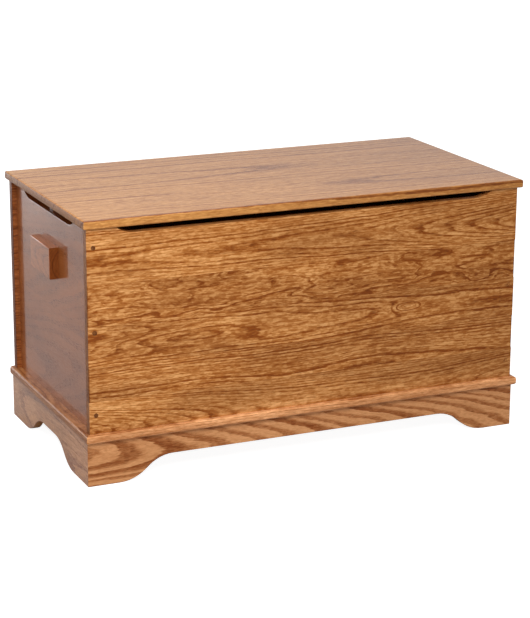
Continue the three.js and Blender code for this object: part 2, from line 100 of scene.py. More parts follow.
class Graph:
    """Adds nodes to a node tree; nearly every method returns an output socket."""

    def __init__(self, tree):
        self.tree = tree

    def node(self, kind, **settings):
        made = self.tree.nodes.new(kind)
        for key, value in settings.items():
            setattr(made, key, value)
        return made

    def feed(self, socket, value):
        if isinstance(value, bpy.types.NodeSocket):
            self.tree.links.new(value, socket)
        else:
            socket.default_value = value

    def math(self, operation, *values, clamp=False):
        made = self.node("ShaderNodeMath", operation=operation, use_clamp=clamp)
        for socket, value in zip(made.inputs, values):
            self.feed(socket, value)
        return made.outputs[0]

    def times(self, a, b):
        return self.math("MULTIPLY", a, b)

    def total(self, *values):
        result = values[0]
        for value in values[1:]:
            result = self.math("ADD", result, value)
        return result

    def vector(self, x=0.0, y=0.0, z=0.0):
        made = self.node("ShaderNodeCombineXYZ")
        for socket, value in zip(made.inputs, (x, y, z)):
            self.feed(socket, value)
        return made.outputs[0]

    def stretch(self, vector, scale):
        made = self.node("ShaderNodeVectorMath", operation="MULTIPLY")
        self.feed(made.inputs[0], vector)
        made.inputs[1].default_value = scale
        return made.outputs[0]

    def split(self, vector):
        made = self.node("ShaderNodeSeparateXYZ")
        self.feed(made.inputs[0], vector)
        return made.outputs

    def place(self):
        """The point being shaded, in the object's own space."""
        return self.node("ShaderNodeTexCoord").outputs["Object"]

    def facing(self):
        """The surface's direction there, in the object's own space."""
        return self.node("ShaderNodeTexCoord").outputs["Normal"]

    def noise(self, vector, seed, detail=2.0, roughness=0.5, distortion=0.0):
        """Noise of about 0 to 1 with its mean at 0.5."""
        made = self.node("ShaderNodeTexNoise", noise_dimensions="4D")
        self.feed(made.inputs["Vector"], vector)
        self.feed(made.inputs["W"], seed)
        made.inputs["Scale"].default_value = 1.0
        made.inputs["Detail"].default_value = detail
        made.inputs["Roughness"].default_value = roughness
        made.inputs["Distortion"].default_value = distortion
        return made.outputs["Fac"]

    def swing(self, noise, size):
        """A noise made to swing about 0, by size each way."""
        return self.times(self.math("SUBTRACT", noise, 0.5), self.times(size, 2.0))

    def fade(self, value, low, high, to_low=0.0, to_high=1.0):
        """A smooth step from to_low, where the value is low, to to_high, where it is high."""
        made = self.node("ShaderNodeMapRange", interpolation_type="SMOOTHSTEP")
        for socket, item in zip(made.inputs, (value, low, high, to_low, to_high)):
            self.feed(socket, item)
        return made.outputs[0]

    def mix(self, share, a, b, blend="MIX"):
        made = self.node("ShaderNodeMix", data_type="RGBA", blend_type=blend)
        self.feed(made.inputs[0], share)
        self.feed(made.inputs[6], a)
        self.feed(made.inputs[7], b)
        return made.outputs[2]

    def gamma(self, color, power):
        made = self.node("ShaderNodeGamma")
        self.feed(made.inputs[0], color)
        made.inputs[1].default_value = power
        return made.outputs[0]

    def stain(self, share, a, b):
        """Mix two colours as a stain deepens, so that the colours between them stay strong."""
        return self.gamma(self.mix(share, self.gamma(a, 1 / STAIN_POWER), self.gamma(b, 1 / STAIN_POWER)),
                          STAIN_POWER)

    def shade(self, color, level):
        """Multiply a colour by a level, so that a dark shade is a warmer one."""
        tint = self.node("ShaderNodeCombineColor")
        for socket, power in zip(tint.inputs, SHADE_POWERS):
            self.feed(socket, self.math("POWER", level, power))
        return self.mix(1.0, color, tint.outputs[0], blend="MULTIPLY")

    def bump(self, height, strength, distance):
        made = self.node("ShaderNodeBump")
        made.inputs["Strength"].default_value = strength
        made.inputs["Distance"].default_value = distance
        self.feed(made.inputs["Height"], height)
        return made.outputs["Normal"]


def new_material(name):
    """A material, its graph and its shader node."""
    material = bpy.data.materials.new(name)
    material.use_nodes = True
    return material, Graph(material.node_tree), material.node_tree.nodes["Principled BSDF"]


def set_constants(shader, **values):
    """Set the shader's own sockets, named with _ for each space."""
    for key, value in values.items():
        shader.inputs[key.replace("_", " ")].default_value = value


# ------------------------------------------------------------------ oak

OAK_INPUTS = {
    "Point": "NodeSocketVector",      # along the grain, across the face, out of the face
    "End": "NodeSocketFloat",         # 1 on end grain
    "Seed": "NodeSocketFloat",        # sets one board's noises apart from another's
    "Ring": "NodeSocketFloat",        # width of one year's ring
    "Pith": "NodeSocketFloat",        # where the log's middle lies across the face
    "Lean": "NodeSocketFloat",        # how fast that changes along the grain
    "Depth": "NodeSocketFloat",       # how far behind the face the log's middle lies
    "Tilt": "NodeSocketFloat",        # how fast that changes along the grain
    "Bend": "NodeSocketFloat",        # how fast the tilt changes
    "Wander": "NodeSocketFloat",      # slow waves of the rings
    "Wild": "NodeSocketFloat",        # short waves of the rings
    "Eye": "NodeSocketVector",        # a swirl: place along, place across, height
    "Lens": "NodeSocketVector",       # a long closed figure, given in the same way
    "Band": "NodeSocketFloat",        # how much of a ring the porous wood fills before it thins out
    "Cloud": "NodeSocketFloat",       # how far soft clouds darken and lighten the board
    "Even": "NodeSocketFloat",        # how strong the weakest year is beside the strongest
    "Contrast": "NodeSocketFloat",    # how dark the porous wood and the streaks are
    "Fibre": "NodeSocketFloat",       # strength of the fine streaks
    "Tone": "NodeSocketFloat",        # brightness of the whole board
    "Drift": "NodeSocketFloat",       # how the tone changes along the grain, painted shade that darkens the board towards the right
    "Edge": "NodeSocketFloat",        # 1 on an eased edge, which is darkened there as painted shade
    "Late": "NodeSocketColor",        # colours of the dense wood, the porous wood and the open pores
    "Early": "NodeSocketColor",
    "Pore": "NodeSocketColor",
}

# The noises of the oak: cells per metre along the grain, across the face and out of it, and the
# step that sets each one's seed apart
OAK_NOISES = {
    "slow": dict(scale=(2.2, 3.0, 3.0), step=0.0, detail=1.0),
    "drift": dict(scale=(3.5, 0.0, 0.0), step=11.3, detail=1.0),
    "short": dict(scale=(7.0, 30.0, 26.0), step=3.1, detail=1.6, distortion=0.5),
    "fine": dict(scale=(26.0, 240.0, 200.0), step=5.7),
    "vessels": dict(scale=(60.0, 1500.0, 1500.0), step=1.9, detail=1.0),
    "clouds": dict(scale=(4.0, 15.0, 15.0), step=6.6, detail=2.0),
}
# Streaks that follow the rings, the noise between which each sets in, and its share of the darkness
OAK_STREAKS = {
    "broad": dict(scale=(5.0, 150.0, 150.0), step=8.2, detail=3.0, roughness=0.6),
    "narrow": dict(scale=(28.0, 640.0, 640.0), step=9.4, detail=1.5, roughness=0.6),
    "dashes": dict(scale=(80.0, 400.0, 400.0), step=4.5, detail=1.0),
}
STREAK_SPANS = {"broad": (0.36, 0.64), "narrow": (0.42, 0.58), "dashes": (0.42, 0.58)}
STREAK_SHARES = {"narrow": 0.30, "broad": 0.18, "dashes": 0.26}
CROSS_RATE = 0.45                     # how fast streaks change across the face, beside across the rings
FINE_WANDER = 0.16                    # the fine noise's waves of the rings, as a share of a ring
EYE_SIZE = (0.030, 0.009)             # along the grain and across the face
LENS_SIZE = (0.20, 0.020)
SPRING_RISE = 0.10                    # share of the year in which the porous wood sets in
SPRING_BREADTH = (0.24, 0.60)         # share in which it fades again, in a lean year and a rich one
LUCK_SPAN = (0.1, 0.95)               # luck of the leanest and the richest year
SPRING_DEPTH = (0.60, 0.80)           # darkness of the porous wood, beside narrow streaks and in them
VESSEL_SPAN = (0.52, 0.64)            # the noise between which a vessel opens
FULL_SPRING = 0.6                     # strength of the porous wood at which its vessels show in full
SUMMER_VESSELS = 0.25                 # how far vessels show in the dense wood
PORE_STAIN = 0.55                     # how far an open pore takes the pores' colour
CLOUD_SPAN = (0.30, 0.70)             # the noise of a dark cloud and a light one
CLOUD_LEVELS = (1.0, -0.7)            # and how far each darkens the board
OAK_ROUGHNESS = 0.30
PORE_ROUGHNESS = 0.25
STREAK_ROUGHNESS = 0.08
SPRING_SINK = 0.35                    # depth of the porous wood beside that of an open pore
OAK_BUMP = (0.35, 0.3 * MM)           # strength and height of the relief
END_GRAIN_LEVEL = 0.42                # brightness of end grain; the next darkens eased edges as painted shade
EDGE_SHADE_LEVEL = 0.62
END_GRAIN_SPAN = (0.55, 0.95)         # how squarely a face has to look along the grain


def oak_group():
    """Growth rings of a log cut by the board, with pores that darken under stain."""
    group = bpy.data.node_groups.new("oak", "ShaderNodeTree")
    for name, kind in OAK_INPUTS.items():
        group.interface.new_socket(name, in_out="INPUT", socket_type=kind)
    for name, kind in (("Color", "NodeSocketColor"), ("Roughness", "NodeSocketFloat"),
                       ("Height", "NodeSocketFloat")):
        group.interface.new_socket(name, in_out="OUTPUT", socket_type=kind)
    g = Graph(group)
    given = g.node("NodeGroupInput").outputs
    point, seed = given["Point"], given["Seed"]
    x, y, z = g.split(point)

    def noise(scale, step, base=point, **settings):
        return g.noise(g.stretch(base, scale), g.math("ADD", seed, step), **settings)

    def figure(place, size):
        at_x, at_y, height = g.split(place)
        u = g.math("DIVIDE", g.math("SUBTRACT", x, at_x), size[0])
        v = g.math("DIVIDE", g.math("SUBTRACT", y, at_y), size[1])
        far = g.math("ADD", g.times(u, u), g.times(v, v))
        return g.times(height, g.math("EXPONENT", g.times(far, -1.0)))

    wave = {name: noise(**settings) for name, settings in OAK_NOISES.items()}
    depth = g.total(given["Depth"], g.times(given["Tilt"], x), g.times(given["Bend"], g.times(x, x)),
                    g.swing(wave["slow"], given["Wander"]), z)
    across = g.total(g.math("SUBTRACT", y, given["Pith"]), g.times(given["Lean"], g.times(x, -1.0)),
                     g.swing(wave["drift"], given["Wander"]))
    radius = g.math("SQRT", g.math("ADD", g.times(depth, depth), g.times(across, across)))
    radius = g.total(radius, g.swing(wave["short"], given["Wild"]), figure(given["Eye"], EYE_SIZE),
                     figure(given["Lens"], LENS_SIZE),
                     g.swing(wave["fine"], g.times(given["Ring"], FINE_WANDER)))
    years = g.math("DIVIDE", radius, given["Ring"])
    season = g.math("FRACT", years)

    # The porous wood starts sharply each spring and thins out towards the autumn. Years differ.
    luck = g.node("ShaderNodeTexWhiteNoise", noise_dimensions="1D")
    g.feed(luck.inputs["W"], g.math("ADD", g.math("FLOOR", years), seed))
    breadth = g.fade(luck.outputs["Value"], 0.0, 1.0, *SPRING_BREADTH)
    fading = g.fade(season, given["Band"], g.math("ADD", breadth, given["Band"]), 1.0, 0.0)
    richness = g.fade(luck.outputs["Value"], *LUCK_SPAN, given["Even"], 1.0)
    spring = g.times(g.times(g.fade(season, 0.0, SPRING_RISE), fading), richness)

    flow = g.vector(x, radius, g.times(y, CROSS_RATE))
    streak = {name: g.fade(noise(base=flow, **settings), *STREAK_SPANS[name])
              for name, settings in OAK_STREAKS.items()}
    vessels = g.fade(wave["vessels"], *VESSEL_SPAN)
    pores = g.times(vessels, g.fade(spring, 0.0, FULL_SPRING, SUMMER_VESSELS, 1.0))

    streaks = g.total(*(g.times(streak[name], share) for name, share in STREAK_SHARES.items()))
    dark = g.total(g.times(spring, g.fade(streak["narrow"], 0.0, 1.0, *SPRING_DEPTH)),
                   g.times(given["Fibre"], streaks))
    dark = g.math("MULTIPLY", dark, given["Contrast"], clamp=True)
    color = g.stain(dark, given["Late"], given["Early"])
    color = g.stain(g.times(pores, PORE_STAIN), color, given["Pore"])
    # The drift darkens the board along the grain: painted shade
    tone = g.total(given["Tone"], g.times(given["Drift"], x))
    cloudy = g.times(g.fade(wave["clouds"], *CLOUD_SPAN, *CLOUD_LEVELS), given["Cloud"])
    level = g.times(g.math("SUBTRACT", 1.0, cloudy), tone)
    # Eased edges are darkened here: painted shade
    level = g.times(level, g.fade(given["Edge"], 0.0, 1.0, 1.0, EDGE_SHADE_LEVEL))
    color = g.shade(color, g.times(level, g.fade(given["End"], 0.0, 1.0, 1.0, END_GRAIN_LEVEL)))

    out = g.node("NodeGroupOutput")
    g.feed(out.inputs["Color"], color)
    g.feed(out.inputs["Roughness"], g.total(OAK_ROUGHNESS, g.times(pores, PORE_ROUGHNESS),
                                            g.times(streak["narrow"], STREAK_ROUGHNESS)))
    g.feed(out.inputs["Height"], g.math("ADD", g.times(pores, -1.0), g.times(spring, -SPRING_SINK)))
    return group


OAK = oak_group()

# Stain colours under the studio light: dense wood, porous wood, open pores
GOLDEN = (srgb(218, 158, 98), srgb(134, 66, 14), srgb(88, 38, 6))
RUDDY = (srgb(192, 116, 62), srgb(122, 60, 22), srgb(78, 36, 12))
TAN = (srgb(220, 158, 106), srgb(136, 70, 28), srgb(92, 44, 14))
PALE = (srgb(220, 158, 88), srgb(138, 74, 24), srgb(92, 46, 16))

# How a piece lies: which axes run along the grain, across the face and out of it, with their signs
FACES = {
    "top": ((0, 1), (1, 1), (2, 1)),
    "front": ((0, 1), (2, 1), (1, -1)),
    "back": ((0, 1), (2, 1), (1, 1)),
    "left": ((1, 1), (2, 1), (0, -1)),
    "right": ((1, 1), (2, 1), (0, 1)),
    "top_along_y": ((1, 1), (0, 1), (2, 1)),
}

# What a board's oak is like where its own look doesn't say
CUT = dict(ring=0.0034, pith=0.0, lean=0.0, depth=0.07, tilt=0.02, bend=0.0, wander=0.006, wild=0.0015,
           eye=(0, 0, 0), lens=(0, 0, 0), band=0.10, cloud=0.22, even=0.35, contrast=1.0, fibre=1.0,
           tone=1.0, drift=0.0)
# Finishes, from full gloss to varnish that has soaked away
VARNISH = dict(Coat_Weight=1.0, Coat_Roughness=0.08, Coat_IOR=1.33, Specular_IOR_Level=0.1)
SATIN = dict(Coat_Weight=1.0, Coat_Roughness=0.20, Coat_IOR=1.32, Specular_IOR_Level=0.1)
RUBBED = dict(Coat_Weight=0.30, Coat_Roughness=0.14, Coat_IOR=1.33, Specular_IOR_Level=0.1)
SOAKED = dict(Coat_Weight=0.08, Coat_Roughness=0.30, Coat_IOR=1.33, Specular_IOR_Level=0.1)
EASED = "eased"                       # the attribute that is 1 on an eased edge, where the oak paints shade


def face_middle(name, face):
    """The middle of the node's shown face, from which its figure is placed."""
    low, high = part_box(name)
    middle = (low + high) / 2
    axis, sign = FACES[face][2]
    middle[axis] = high[axis] if sign > 0 else low[axis]
    return middle


def oak(name, face, seed, stain=GOLDEN, finish=VARNISH, **cut):
    """The oak of one board, with its own cut of the log."""
    cut = {**CUT, **cut}
    material, g, shader = new_material(f"oak_{name}")

    def turned(vector):
        parts = g.split(vector)
        return [g.times(parts[axis], float(sign)) for axis, sign in FACES[face]]

    place = g.node("ShaderNodeVectorMath", operation="SUBTRACT")
    g.feed(place.inputs[0], g.place())
    place.inputs[1].default_value = face_middle(name, face)
    along = turned(g.facing())[0]
    group = g.node("ShaderNodeGroup", node_tree=OAK)
    g.feed(group.inputs["Point"], g.vector(*turned(place.outputs[0])))
    g.feed(group.inputs["End"], g.fade(g.math("ABSOLUTE", along), *END_GRAIN_SPAN))
    g.feed(group.inputs["Edge"], g.node("ShaderNodeAttribute", attribute_name=EASED).outputs["Fac"])
    g.feed(group.inputs["Seed"], float(seed))
    for key, value in cut.items():
        g.feed(group.inputs[key.title()], value)
    for key, value in zip(("Late", "Early", "Pore"), stain):
        g.feed(group.inputs[key], value)
    g.feed(shader.inputs["Base Color"], group.outputs["Color"])
    g.feed(shader.inputs["Roughness"], group.outputs["Roughness"])
    g.feed(shader.inputs["Normal"], g.bump(group.outputs["Height"], *OAK_BUMP))
    set_constants(shader, **finish)
    return material


# ------------------------------------------------------------------ other materials

# Cells per metre of each noise, along the three axes
LUMBER_WAVES = (4.0, 60.0, 60.0)
LUMBER_FIBRE = (40.0, 900.0, 900.0)
PLY_WARP = (1.6, 5.0, 5.0)
PLY_FIBRE = (22.0, 500.0, 500.0)
PLUG_PORES = (1400.0, 300.0, 1400.0)
PLUG_RINGS = (260.0, 20.0, 160.0)
METAL_PATCHES = (55.0, 55.0, 55.0)
BRASS_LINES = (60.0, 1800.0, 1800.0)
STEEL_LINES = (1500.0, 40.0, 40.0)

# Strength and height of each relief
LUMBER_BUMP = (0.3, 0.2 * MM)
PLY_BUMP = (0.25, 0.2 * MM)
PLUG_BUMP = (0.25, 0.1 * MM)
METAL_BUMP = (0.12, 0.05 * MM)

# Colours: light, dark, and the lines or pores over them
LUMBER_COLORS = (srgb(214, 176, 124), srgb(182, 134, 82), srgb(150, 104, 62))
PLY_COLORS = (srgb(208, 158, 104), srgb(156, 100, 54), srgb(136, 84, 44))
PLY_EDGE_COLORS = (srgb(206, 164, 114), srgb(150, 104, 62))
PLUG_COLORS = {"left": (srgb(134, 80, 38), srgb(86, 44, 18), srgb(52, 24, 10)),
               "right": (srgb(196, 128, 68), srgb(140, 82, 36), srgb(52, 24, 10))}
BRASS_COLORS = (srgb(222, 184, 104), srgb(168, 126, 62))
STEEL_COLORS = (srgb(204, 206, 208), srgb(150, 152, 156))

# Roughness of the smoothest and the roughest spots
LUMBER_ROUGHNESS = (0.55, 0.75)
PLY_ROUGHNESS = (0.35, 0.5)
PLUG_ROUGHNESS = (0.30, 0.45)
BRASS_ROUGHNESS = (0.22, 0.36)
STEEL_ROUGHNESS = (0.26, 0.42)
WORN_ROUGHNESS = 0.12                 # what a worn patch adds

PLY_LAYER = 4.8 * MM                  # one light and one dark layer of the plywood's edge
PLY_RINGS = 14.0                      # rings per metre across the face
PLY_WAVES = 9.0                       # how many rings the warp moves them by


def lumber(name):
    """Plain softwood of the hidden cleats and blocks, planed and left bare."""
    material, g, shader = new_material(name)
    place = g.place()
    wave = g.noise(g.stretch(place, LUMBER_WAVES), 2.0, detail=3.0, distortion=0.4)
    fibre = g.noise(g.stretch(place, LUMBER_FIBRE), 4.0)
    light, dark, lines = LUMBER_COLORS
    color = g.mix(g.fade(wave, 0.35, 0.65), light, dark)
    color = g.mix(g.times(g.fade(fibre, 0.4, 0.7), 0.4), color, lines)
    g.feed(shader.inputs["Base Color"], color)
    g.feed(shader.inputs["Roughness"], g.fade(fibre, 0.3, 0.7, *LUMBER_ROUGHNESS))
    g.feed(shader.inputs["Normal"], g.bump(fibre, *LUMBER_BUMP))
    return material


def plywood(name):
    """Oak-faced plywood: a rotary-cut face, and layers that show on its edges."""
    material, g, shader = new_material(name)
    place = g.place()
    warp = g.noise(g.stretch(place, PLY_WARP), 1.0, detail=2.0)
    rings = g.math("FRACT", g.total(g.times(warp, PLY_WAVES), g.times(g.split(place)[1], PLY_RINGS)))
    fibre = g.noise(g.stretch(place, PLY_FIBRE), 5.0, detail=2.0)
    line = g.times(g.fade(rings, 0.0, 0.1), g.fade(rings, 0.15, 0.6, 1.0, 0.0))
    light, dark, lines = PLY_COLORS
    face = g.mix(g.times(line, 0.7), light, dark)
    face = g.mix(g.times(g.fade(fibre, 0.42, 0.66), 0.5), face, lines)
    layer = g.math("FRACT", g.math("DIVIDE", g.split(place)[2], PLY_LAYER))
    edge = g.mix(g.fade(layer, 0.46, 0.54), *PLY_EDGE_COLORS)
    upward = g.math("ABSOLUTE", g.split(g.facing())[2])
    g.feed(shader.inputs["Base Color"], g.mix(g.fade(upward, 0.4, 0.6), edge, face))
    g.feed(shader.inputs["Roughness"], g.fade(fibre, 0.3, 0.7, *PLY_ROUGHNESS))
    g.feed(shader.inputs["Normal"], g.bump(fibre, *PLY_BUMP))
    set_constants(shader, **SATIN)
    return material


def plug_wood(name, light, dark, pores):
    """End grain of a turned plug: waves of growth rings, and fine pores."""
    material, g, shader = new_material(name)
    place = g.place()
    spots = g.noise(g.stretch(place, PLUG_PORES), 3.0)
    waves = g.noise(g.stretch(place, PLUG_RINGS), 7.0, detail=3.0, distortion=1.0)
    color = g.mix(g.fade(waves, 0.35, 0.65), light, dark)
    color = g.mix(g.times(g.fade(spots, 0.5, 0.66), 0.6), color, pores)
    g.feed(shader.inputs["Base Color"], color)
    g.feed(shader.inputs["Roughness"], g.fade(spots, 0.3, 0.7, *PLUG_ROUGHNESS))
    g.feed(shader.inputs["Normal"], g.bump(spots, *PLUG_BUMP))
    set_constants(shader, **RUBBED)
    return material


def metal(name, colors, roughness, brushing):
    """Metal with brushed lines along one direction, and patches where it has dulled."""
    material, g, shader = new_material(name)
    place = g.place()
    lines = g.noise(g.stretch(place, brushing), 2.0, detail=3.0, roughness=0.7)
    patches = g.noise(g.stretch(place, METAL_PATCHES), 6.0, detail=4.0, roughness=0.6)
    worn = g.fade(patches, 0.42, 0.68)
    brushed = g.fade(lines, 0.3, 0.7, *roughness)
    g.feed(shader.inputs["Base Color"], g.mix(worn, *colors))
    g.feed(shader.inputs["Roughness"], g.total(brushed, g.times(worn, WORN_ROUGHNESS)))
    g.feed(shader.inputs["Normal"], g.bump(lines, *METAL_BUMP))
    set_constants(shader, Metallic=1.0)
    return material


INNER_WOOD = lumber("inner_wood")
PLYWOOD = plywood("plywood")
PLUG_WOOD = {side: plug_wood(f"plug_wood_{side}", *PLUG_COLORS[side]) for side in SIDES}
BRASS = metal("brass", BRASS_COLORS, BRASS_ROUGHNESS, BRASS_LINES)
STEEL = metal("zinc_plated_steel", STEEL_COLORS, STEEL_ROUGHNESS, STEEL_LINES)

# ------------------------------------------------------------------ pieces

SLOT_OF = {row["node"]: row["material_slot"] for row in frame["record"]["subparts"]}
BODY_OF = {node: body for body, held in frame["record"]["behaviour"]["bodies"].items() for node in held}

WELD = 0.005 * MM
TOUCH = 0.01 * MM
FLAT = math.radians(0.5)              # faces that meet at less than this are made one
SHARP = math.radians(40)              # and those that meet at more keep a hard edge between them
DIAGONAL = 0.6
END_SHARE = 0.5                       # how far a face looks along the grain before it is end grain
EASE_STEPS = 3                        # facets of an eased edge, and of a small part's
SMALL_STEPS = 2


def add_piece(name, bm, materials, body, slot):
    """A new piece from a bmesh, shaded smooth except across its sharp edges."""
    bmesh.ops.recalc_face_normals(bm, faces=bm.faces)
    for face in bm.faces:
        face.smooth = True
    for edge in bm.edges:
        edge.smooth = len(edge.link_faces) == 2 and edge.calc_face_angle() < SHARP
    mesh = bpy.data.meshes.new(name)
    bm.to_mesh(mesh)
    bm.free()
    for material in materials:
        mesh.materials.append(material)
    piece = bpy.data.objects.new(name, mesh)
    bpy.context.scene.collection.objects.link(piece)
    even = piece.modifiers.new("even_normals", "WEIGHTED_NORMAL")
    even.keep_sharp = True
    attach(piece, body)
    return piece


def lies_on(face, axis, limit):
    """Whether all of a face is at one limit of the node's box along an axis."""
    return all(abs(v.co[axis] - limit[axis]) < TOUCH for v in face.verts)


def is_joint(face, low, high, glued):
    """Whether a face meets another piece: a mitre, or one of the glued sides, such as z- or y+."""
    mitred = abs(face.normal.x) > DIAGONAL and abs(face.normal.y) > DIAGONAL
    limits = {"-": low, "+": high}
    return mitred or any(lies_on(face, "xyz".index(axis), limits[end]) for axis, end in glued)


def is_outer(face, low, high):
    """Whether a face lies on one of the sides of the node's box."""
    return any(lies_on(face, axis, limit) for axis in range(3) for limit in (low, high))


def ease_edges(bm, name, ease, glued, steps, outer_only):
    """Round the node's convex edges, and mark the new faces, which the oak darkens as painted shade."""
    low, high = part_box(name)
    kept = {face for face in bm.faces if is_joint(face, low, high, glued)}
    if outer_only:
        kept.update(face for face in bm.faces if not is_outer(face, low, high))
    free = [edge for edge in bm.edges
            if len(edge.link_faces) == 2 and edge.calc_face_angle_signed() > SHARP
            and not kept.intersection(edge.link_faces)]
    eased = bm.faces.layers.float.new(EASED)
    made = bmesh.ops.bevel(bm, geom=free, offset=ease, offset_type="OFFSET", segments=steps,
                           profile=0.5, affect="EDGES", clamp_overlap=True)
    for face in made["faces"]:
        face[eased] = 1.0


def finish_node(name, materials, ease=0.0, glued=(), steps=EASE_STEPS, grain=None, outer_only=False):
    """A piece of the node's own shape, with its free edges eased and smooth shading.

    Faces that look along the grain axis take the second material. With outer_only, edges that
    were cut into the piece, such as a hinge pocket's, stay sharp."""
    bm = bmesh.new()
    bm.from_mesh(nodes[name].data)
    bmesh.ops.remove_doubles(bm, verts=bm.verts, dist=WELD)
    bmesh.ops.dissolve_limit(bm, angle_limit=FLAT, verts=bm.verts, edges=bm.edges)
    if ease:
        ease_edges(bm, name, ease, glued, steps, outer_only)
    if grain is not None:
        bm.normal_update()
        for face in bm.faces:
            face.material_index = int(abs(face.normal[grain]) > END_SHARE)
    piece = add_piece(f"{name}_finished", bm, materials, BODY_OF[name], SLOT_OF[name])
    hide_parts(name)


def board(name, face, seed, ease=0.0, glued=(), outer_only=False, **look):
    """A piece of oak, whose end grain has soaked up its varnish."""
    sides = oak(name, face, seed, **look)
    ends = oak(name, face, seed, **{**look, "finish": SOAKED})
    grain = FACES[face][0][0]
    finish_node(name, (sides, ends), ease, glued, grain=grain, outer_only=outer_only)


def dress(name, material):
    """Give a CAD node that stays as it is its own material."""
    mesh = nodes[name].data
    mesh.materials.clear()
    mesh.materials.append(material)


# How each front board was cut, from the bottom up: straight grain, long lines, a lens with an eye
# beside it, wild grain, and a cathedral that opens to the right.
FRONT_CUTS = [
    dict(depth=0.090, pith=-0.034, tilt=0.020, bend=-0.060, wild=0.0016, ring=0.0030, contrast=0.9),
    dict(depth=0.100, pith=-0.055, lean=0.02, tilt=0.012, wander=0.012, wild=0.0022, ring=0.0040,
         contrast=1.1),
    dict(depth=0.080, pith=0.004, tilt=0.016, wander=0.012, wild=0.0026, ring=0.0036, contrast=1.05,
         eye=(0.245, 0.006, 0.012), lens=(-0.30, 0.0, 0.012)),
    dict(depth=0.150, pith=0.010, tilt=0.004, wander=0.012, wild=0.0120, ring=0.0038, even=0.25,
         contrast=1.15),
    dict(depth=0.070, pith=-0.012, tilt=-0.024, bend=-0.030, wander=0.006, wild=0.0020, ring=0.0034,
         contrast=0.95),
]
# Painted shade: the drift darkens and reddens the front boards towards the right, as the light falls off
FRONT_LOOK = dict(finish=RUBBED, drift=-0.28, tone=1.075)
BACK_CUTS = [dict(depth=0.06, pith=0.02), dict(depth=0.08, pith=0.0), dict(depth=0.10, pith=-0.02)]
BACK_LOOK = dict(stain=RUDDY, wander=0.010, ring=0.0050)
LID_CUTS = [
    # The front lid board's higher tone is partly its own and partly a painted highlight for its lit front
    # edge
    dict(depth=0.050, pith=-0.060, tilt=0.01, tone=0.99),
    dict(depth=0.080, pith=0.020, tilt=-0.03, tone=0.92),
    dict(depth=0.060, pith=-0.070, tilt=0.02, tone=0.945),
    dict(depth=0.090, pith=0.0, tilt=0.03, tone=0.90),
    dict(depth=0.050, pith=0.080, tilt=-0.01, tone=0.92),
]
# Painted shade: the drift darkens the lid towards the right
LID_LOOK = dict(stain=PALE, finish=SATIN, wander=0.012, ring=0.0180, band=0.02, even=0.10, cloud=0.08,
                contrast=1.2, fibre=0.62, drift=-0.38)
# The end panels' low tone is painted shade, darkening them as the box's shaded left side
END_LOOK = dict(stain=RUDDY, depth=0.080, pith=-0.03, lean=-0.25, tilt=-0.10, wander=0.016, ring=0.0180,
                wild=0.0060, band=0.25, contrast=0.16, fibre=0.6, tone=0.66)
APRON = dict(stain=TAN, ring=0.0100, depth=0.105, tilt=0.100, wander=0.008, wild=0.0034)
# The front apron's higher tone is painted light, and the left apron's lower tone is painted shade
APRON_CUTS = {
    "front": dict(pith=-0.025, lean=-0.10, finish=RUBBED, band=0.30, even=0.50, cloud=0.10, fibre=0.30,
                  tone=1.08),
    "back": dict(pith=-0.03, lean=0.05, contrast=0.7),
    "left": dict(pith=-0.02, lean=0.15, contrast=0.5, tone=0.85),
    "right": dict(pith=0.02, lean=-0.1, contrast=0.7),
}
RAIL = dict(stain=TAN, finish=RUBBED, ring=0.0030, depth=0.03, pith=-0.09, contrast=0.7)
# Painted light and shade on the cap rails: the front rail lightened as lit, with its highlight, the left
# and right darkened as shaded
RAIL_PAINTED_LIGHT = {"front": 1.55, "back": 1.0, "left": 0.62, "right": 0.8}
HANDLE_LOOK = dict(stain=RUDDY, ring=0.0070, depth=0.06, tilt=0.12, lean=0.1, wander=0.003, contrast=0.7,
                   fibre=0.6, tone=0.92)

# The first seed of each run of boards
FRONT_SEED = 10
BACK_SEED = 20
END_SEEDS = {"left": 30, "right": 38}
LID_SEED = 40
BATTEN_SEED = 48
APRON_SEED = 51
RAIL_SEED = 57
HANDLE_SEEDS = {"left": 59, "right": 61}

EASE = 1.5 * MM
FRONT_EASE = 2.5 * MM
APRON_EASE = 1.0 * MM
PLUG_EASE = 0.5 * MM
ARM_EASE = 0.4 * MM


def glued_up(index, count):
    """The sides on which a panel's board meets its neighbours: the top one has none above it."""
    return ("z-",) if index == count - 1 else ("z-", "z+")


def finish_case():
    for index, cut in enumerate(FRONT_CUTS):
        glued = glued_up(index, len(FRONT_CUTS))
        board(f"front_board_{index + 1}", "front", FRONT_SEED + index, FRONT_EASE, glued,
              **FRONT_LOOK, **cut)
    for index, cut in enumerate(BACK_CUTS):
        glued = glued_up(index, len(BACK_CUTS))
        board(f"back_board_{index + 1}", "back", BACK_SEED + index, EASE, glued, outer_only=True,
              **BACK_LOOK, **cut)
    for side in SIDES:
        for index in range(2):
            glued = ("y-", "y+") + glued_up(index, 2)
            board(f"end_board_{side}_{index + 1}", side, END_SEEDS[side] + index, EASE, glued, **END_LOOK)
        board(f"handle_{side}", side, HANDLE_SEEDS[side], **HANDLE_LOOK)
        for height in ("bottom", "middle", "top"):
            finish_node(f"plug_{side}_{height}", [PLUG_WOOD[side]], PLUG_EASE, ("y+",), SMALL_STEPS)


def finish_lid():
    for index, cut in enumerate(LID_CUTS):
        board(f"lid_board_{index + 1}", "top", LID_SEED + index, **LID_LOOK, **cut)
    for side in SIDES:
        board(f"lid_batten_{side}", "top_along_y", BATTEN_SEED, EASE, ("z+",), contrast=0.8)


